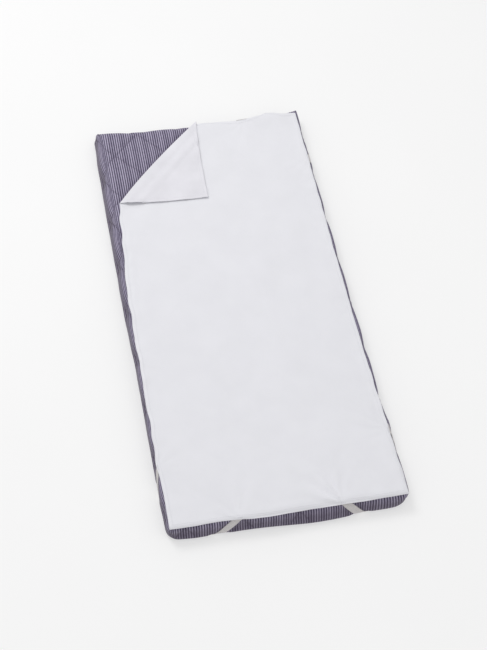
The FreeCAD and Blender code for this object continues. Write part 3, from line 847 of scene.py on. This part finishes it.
def make_zip(coil_material, tape_material, metal_material):
    """Nylon coils in place of the plain strips, and metal on the slider and pull."""
    pitch = 1.6 * MM
    for side, node in ((1, "zip_coil_upper"), (-1, "zip_coil_lower")):
        low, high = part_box(node)
        shift = pitch / 2 if side > 0 else 0
        y = np.arange(low.y + 0.6 * MM + shift, high.y - 0.6 * MM, pitch)
        outer = high.z if side > 0 else low.z
        inner = ZIP_Z + side * 0.3 * MM
        x = (low.x + high.x) / 2
        starts, ends = (np.column_stack([np.full_like(y, x), y, np.full_like(y, z)]) for z in (outer, inner))
        normals = np.tile([1.0, 0.0, 0.0], (len(y), 1))
        name = f"{node}_teeth"
        coil = stitch_mesh(name, starts, ends, normals, 0.72 * MM, coil_material, flatten=1.05)
        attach(coil, "pad")
        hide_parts(node)
    for node in ("zip_tape_upper", "zip_tape_lower"):
        paint(node, tape_material)
    for node in ("zip_slider", "zip_pull", "zip_end_stops"):
        paint(node, metal_material)
        edge = bpy.data.objects[node].modifiers.new("edge", "BEVEL")
        edge.width = 0.12 * MM
        edge.segments = 2


def paint(node, material):
    """Gives a CAD node a procedural material in every slot."""
    thing = bpy.data.objects[node]
    if not thing.material_slots:
        thing.data.materials.append(material)
    for spot in thing.material_slots:
        spot.material = material


class Nodes:
    """Builds a material's node tree in short steps."""

    def __init__(self, name, roughness):
        self.material = bpy.data.materials.new(name)
        self.material.use_nodes = True
        self.tree = self.material.node_tree
        self.shader = self.tree.nodes["Principled BSDF"]
        self.shader.inputs["Roughness"].default_value = roughness

    def add(self, kind, **settings):
        """A new node with those settings."""
        node = self.tree.nodes.new(kind)
        for key, setting in settings.items():
            setattr(node, key, setting)
        return node

    def link(self, source, target):
        self.tree.links.new(source, target)

    def maths(self, operation, a, b=None, c=None):
        """A maths node's result, from numbers or sockets."""
        node = self.add("ShaderNodeMath", operation=operation)
        for spot, value in enumerate((a, b, c)):
            if value is None:
                continue
            if isinstance(value, (int, float)):
                node.inputs[spot].default_value = value
            else:
                self.link(value, node.inputs[spot])
        return node.outputs[0]

    def uv(self):
        """The flat cloth coordinates, in metres."""
        split = self.add("ShaderNodeSeparateXYZ")
        layer = self.add("ShaderNodeUVMap", uv_map="cloth")
        self.link(layer.outputs[0], split.inputs[0])
        return split.outputs[0], split.outputs[1]

    def place(self):
        """The point's x, y and z in metres."""
        split = self.add("ShaderNodeSeparateXYZ")
        coordinate = self.add("ShaderNodeTexCoord")
        self.link(coordinate.outputs["Object"], split.inputs[0])
        return split.outputs

    def noise(self, scale, detail=3.0):
        """Soft noise about 0 to 1, fixed to the piece."""
        node = self.add("ShaderNodeTexNoise")
        node.inputs["Scale"].default_value = scale
        node.inputs["Detail"].default_value = detail
        self.link(self.add("ShaderNodeTexCoord").outputs["Object"], node.inputs["Vector"])
        return node.outputs[0]

    def wave(self, value, period):
        """0 to 1 sine of a length, once every period."""
        angle = self.maths("MULTIPLY", value, 2 * math.pi / period)
        return self.maths("MULTIPLY_ADD", self.maths("SINE", angle), 0.5, 0.5)

    def colours(self, factor, stops):
        """A colour ramp with those (position, colour) stops."""
        ramp = self.add("ShaderNodeValToRGB")
        ramp.color_ramp.elements[0].position = stops[0][0]
        ramp.color_ramp.elements[0].color = (*stops[0][1], 1)
        ramp.color_ramp.elements[1].position = stops[-1][0]
        ramp.color_ramp.elements[1].color = (*stops[-1][1], 1)
        for position, colour in stops[1:-1]:
            ramp.color_ramp.elements.new(position).color = (*colour, 1)
        self.link(factor, ramp.inputs[0])
        return ramp.outputs[0]

    def blend(self, factor, a, b):
        """A mix of two colours, from numbers, colours or sockets."""
        node = self.add("ShaderNodeMix", data_type="RGBA")
        for spot, value in ((0, factor), (6, a), (7, b)):
            if isinstance(value, (int, float)):
                node.inputs[spot].default_value = value
            elif isinstance(value, tuple):
                node.inputs[spot].default_value = (*value, 1)
            else:
                self.link(value, node.inputs[spot])
        return node.outputs[2]

    def bump(self, height, distance):
        """Fine surface relief of that depth in metres."""
        node = self.add("ShaderNodeBump")
        node.inputs["Strength"].default_value = 1.0
        node.inputs["Distance"].default_value = distance
        self.link(height, node.inputs["Height"])
        self.link(node.outputs[0], self.shader.inputs["Normal"])

    def colour(self, socket):
        """Sets the material's colour."""
        self.link(socket, self.shader.inputs["Base Color"])

    def sheen(self, weight):
        """The soft glow of a fibrous cloth at grazing angles."""
        self.shader.inputs["Sheen Weight"].default_value = weight
        self.shader.inputs["Sheen Roughness"].default_value = 0.5


def linear(red, green, blue):
    """A colour given as 0 to 255 display values, as scene-linear numbers."""
    scaled = [v / 255 for v in (red, green, blue)]
    return tuple(v / 12.92 if v <= 0.04045 else ((v + 0.055) / 1.055) ** 2.4 for v in scaled)


def ticking_colours(made, u):
    """Fine light and dark stripes across u, with a broad beat and a fibrous unevenness."""
    fine = made.wave(u, 6.3 * MM)
    broad = made.wave(u, 31.4 * MM)
    grain = made.noise(160.0, 4.0)
    stripes = made.maths("MULTIPLY_ADD", broad, 0.14, made.maths("MULTIPLY", fine, 0.86))
    stripes = made.maths("MULTIPLY_ADD", grain, 0.35, made.maths("SUBTRACT", stripes, 0.17))
    ground = made.colours(stripes, [
        (0.10, linear(62, 54, 76)), (0.45, linear(108, 101, 126)),
        (0.70, linear(148, 141, 167)), (0.95, linear(200, 193, 215)),
    ])
    patch = made.maths("MULTIPLY", made.noise(9.0), 0.25)
    return made.blend(patch, ground, linear(96, 90, 112))


def quilting_shade(made, u, v):
    """1 on a quilting line, falling off quickly beside it: the mask for the painted shade in the quilting
    creases.
    """
    crease_masks = []
    for sign, shift in ((1, QUILT_FALL), (-1, QUILT_RISE)):
        place = made.maths("MULTIPLY_ADD", u, sign, v)
        turn = made.maths("MULTIPLY_ADD", place, math.pi / QUILT_STEP, -shift * math.pi / QUILT_STEP)
        off = made.maths("ABSOLUTE", made.maths("SINE", turn))
        crease_masks.append(made.maths("POWER", made.maths("SUBTRACT", 1.0, off), 14.0))
    return made.maths("MAXIMUM", *crease_masks)


def wall_share(made, u, v):
    """0 on the flat top, rising to 1 on the pad's walls: the mask for the painted shade on the walls."""
    past_x = made.maths("SUBTRACT", made.maths("ABSOLUTE", u), HALF_X + 4 * MM)
    past_y = made.maths("SUBTRACT", made.maths("ABSOLUTE", v), HALF_Y + 4 * MM)
    share = made.maths("MULTIPLY", made.maths("MAXIMUM", past_x, past_y), 1 / (25 * MM))
    return made.maths("MINIMUM", made.maths("MAXIMUM", share, 0.0), 1.0)


def ticking_material():
    """Violet striped ticking, with painted shade in the creases along the quilting lines and on the walls.
    """
    made = Nodes("striped_ticking", 0.85)
    u, v = made.uv()
    striped = ticking_colours(made, u)
    # Painted shade: the stripes are darkened along the quilting lines, where the creases lie in shadow.
    painted_crease_shade = made.maths("MULTIPLY", quilting_shade(made, u, v), 0.42)
    crease_shaded = made.blend(painted_crease_shade, striped, linear(58, 50, 72))
    # Painted shade: the walls are darkened, as they face away from the overhead light.
    painted_wall_shade = made.maths("MULTIPLY", wall_share(made, u, v), 0.52)
    wall_shaded = made.blend(painted_wall_shade, crease_shaded, linear(62, 50, 64))
    weave = made.maths("MULTIPLY", made.wave(u, 0.7 * MM), made.wave(v, 0.7 * MM))
    made.colour(made.blend(made.maths("MULTIPLY", weave, 0.10), wall_shaded, (0.02, 0.02, 0.03)))
    fluff = made.maths("MULTIPLY", made.noise(900.0, 2.0), 0.5)
    made.bump(made.maths("MULTIPLY_ADD", weave, 0.6, fluff), 0.15 * MM)
    made.sheen(0.12)
    return made.material


def cotton_material():
    """White cotton face of the protector: a fine even weave with a little unevenness."""
    made = Nodes("white_cotton", 0.9)
    u, v = made.uv()
    weave = made.maths("MULTIPLY", made.wave(u, 0.9 * MM), made.wave(v, 0.9 * MM))
    patch = made.noise(14.0)
    tone = made.colours(patch, [(0.3, linear(233, 233, 238)), (0.7, linear(236, 236, 241))])
    made.colour(made.blend(made.maths("MULTIPLY", weave, 0.05), tone, linear(205, 205, 214)))
    fluff = made.maths("MULTIPLY", made.noise(420.0), 0.7)
    made.bump(made.maths("MULTIPLY_ADD", weave, 0.5, fluff), 0.2 * MM)
    made.sheen(0.1)
    return made.material


def backing_material():
    """Backing of the protector: white brushed knit, a little smoother than the face."""
    made = Nodes("backing_knit", 0.8)
    u, v = made.uv()
    knit = made.maths("MULTIPLY", made.wave(u, 1.6 * MM), made.wave(v, 1.1 * MM))
    tone = made.colours(made.noise(16.0), [(0.3, linear(227, 226, 232)), (0.7, linear(234, 233, 239))])
    made.colour(made.blend(made.maths("MULTIPLY", knit, 0.06), tone, linear(200, 200, 210)))
    made.bump(made.maths("MULTIPLY_ADD", made.noise(500.0, 2.0), 0.5, knit), 0.15 * MM)
    return made.material


def elastic_material():
    """Grey woven elastic: lengthwise cords crossed by fine picks."""
    made = Nodes("grey_elastic", 0.75)
    u, v = made.uv()
    cords = made.wave(v, 1.55 * MM)
    picks = made.wave(u, 0.9 * MM)
    tone = made.colours(cords, [
        (0.0, linear(200, 196, 196)), (0.6, linear(226, 222, 222)), (1.0, linear(233, 230, 229)),
    ])
    threads = made.blend(made.maths("MULTIPLY", picks, 0.16), tone, linear(168, 164, 165))
    worn = made.maths("MULTIPLY", made.noise(60.0), 0.2)
    made.colour(made.blend(worn, threads, linear(196, 191, 189)))
    made.bump(made.maths("MULTIPLY_ADD", picks, 0.5, cords), 0.25 * MM)
    return made.material


def thread_material(name, dark, light):
    """Twisted sewing thread between two tones."""
    made = Nodes(name, 0.6)
    twist = made.noise(2600.0, 1.0)
    made.colour(made.colours(twist, [(0.3, dark), (0.7, light)]))
    made.bump(twist, 0.08 * MM)
    return made.material


def tape_material():
    """Woven zip tape with a fine herringbone."""
    made = Nodes("zip_tape", 0.8)
    _, y, z = made.place()
    slant = made.wave(made.maths("MULTIPLY_ADD", z, 0.6, y), 1.1 * MM)
    weave = made.maths("MULTIPLY", slant, made.wave(z, 1.4 * MM))
    made.colour(made.colours(weave, [(0.0, linear(88, 82, 104)), (1.0, linear(122, 115, 140))]))
    made.bump(weave, 0.15 * MM)
    return made.material


def nylon_material():
    """Dyed nylon of the zip's coils."""
    made = Nodes("zip_nylon", 0.38)
    dye = made.noise(350.0)
    made.colour(made.colours(dye, [(0.3, linear(98, 92, 116)), (0.7, linear(116, 109, 136))]))
    made.bump(made.noise(1500.0, 1.0), 0.03 * MM)
    return made.material


def metal_material():
    """Nickel-plated die casting with fine handling marks."""
    made = Nodes("zip_nickel", 0.3)
    made.shader.inputs["Metallic"].default_value = 1.0
    marks = made.noise(800.0, 4.0)
    made.colour(made.colours(marks, [(0.3, (0.42, 0.42, 0.43)), (0.7, (0.56, 0.56, 0.57))]))
    rough = made.maths("MULTIPLY_ADD", made.noise(300.0), 0.25, 0.2)
    made.link(rough, made.shader.inputs["Roughness"])
    made.bump(marks, 0.03 * MM)
    return made.material


def floor_material():
    """Even pale floor, partly lit from within so that shadows on it stay faint."""
    made = Nodes("pale_floor", 0.9)
    cloud = made.noise(2.0)
    made.colour(made.colours(cloud, [(0.3, (0.50, 0.50, 0.50)), (0.7, (0.51, 0.51, 0.51))]))
    made.shader.inputs["Emission Color"].default_value = (1, 1, 1, 1)
    made.shader.inputs["Emission Strength"].default_value = 0.44
    return made.material


def make_camera():
    """Camera at the photograph's angle: high over the front end, turned and rolled a little."""
    yaw, height, roll = -0.3845, 1.0651, 0.2021
    away = 2.7776
    target = Vector((-0.0066, -0.0815, SHEET_TOP))
    back = Vector((
        math.sin(yaw) * math.cos(height), -math.cos(yaw) * math.cos(height), math.sin(height),
    ))
    x = Vector((0, 0, 1)).cross(back).normalized()
    y = back.cross(x)
    right = math.cos(roll) * x + math.sin(roll) * y
    up = -math.sin(roll) * x + math.cos(roll) * y
    camera = bpy.data.objects.new("camera", bpy.data.cameras.new("camera"))
    bpy.context.scene.collection.objects.link(camera)
    turn = Matrix((right, up, back)).transposed().to_4x4()
    camera.matrix_world = Matrix.Translation(target + back * away) @ turn
    camera.data.sensor_width = 36
    camera.data.lens = 58.37
    camera.data.clip_start = 0.05
    camera.data.clip_end = 50
    bpy.context.scene.camera = camera


def area_light(name, place, size, power):
    """A round soft light aimed at the origin."""
    lamp = bpy.data.lights.new(name, "AREA")
    lamp.shape = "DISK"
    lamp.size = size
    lamp.energy = power
    thing = bpy.data.objects.new(name, lamp)
    bpy.context.scene.collection.objects.link(thing)
    thing.location = place
    thing.rotation_mode = "QUATERNION"
    thing.rotation_quaternion = (-Vector(place)).to_track_quat("-Z", "Y")


def make_studio():
    """Plain pale floor, white surroundings, and two large soft lights."""
    half = 15.0
    corners = [(-half, -half), (half, -half), (half, half), (-half, half)]
    points = [(x, y, -0.5 * MM) for x, y in corners]
    floor = mesh_object("studio_floor", points, [(0, 1, 2, 3)], [floor_material()], smooth=False)
    world = bpy.data.worlds.new("studio")
    world.use_nodes = True
    tree = world.node_tree
    split = tree.nodes.new("ShaderNodeSeparateXYZ")
    tree.links.new(tree.nodes.new("ShaderNodeTexCoord").outputs["Generated"], split.inputs[0])
    grade = tree.nodes.new("ShaderNodeMapRange")
    grade.inputs["To Min"].default_value = 0.42
    grade.inputs["To Max"].default_value = 0.78
    tree.links.new(split.outputs[2], grade.inputs["Value"])
    tree.links.new(grade.outputs[0], tree.nodes["Background"].inputs["Strength"])
    tree.nodes["Background"].inputs["Color"].default_value = (1, 1, 1, 1)
    bpy.context.scene.world = world
    area_light("key", (-1.4, 1.9, 3.5), 1.6, 56)
    area_light("fill", (1.4, -1.6, 3.6), 2.6, 10)
    bpy.context.scene.view_settings.view_transform = "Standard"


make_camera()
make_studio()

violet_thread = thread_material("violet_thread", linear(84, 78, 100), linear(120, 113, 138))
white_thread = thread_material("white_thread", linear(205, 205, 212), linear(238, 238, 242))
elastic = elastic_material()

make_pad(ticking_material())
make_quilt_stitches(violet_thread)
protector = make_sheet(cotton_material(), backing_material())
hem_thread = stitches_on_sheet("hem_stitches", *hem_path(4.2 * MM, 3.1 * MM), 0.38 * MM, white_thread)
bar_tacks = make_tacks(white_thread)
for strap_label in STRAPS:
    make_corner_strap(strap_label, elastic)
make_tucked_strap(elastic)
make_zip(nylon_material(), tape_material(), metal_material())
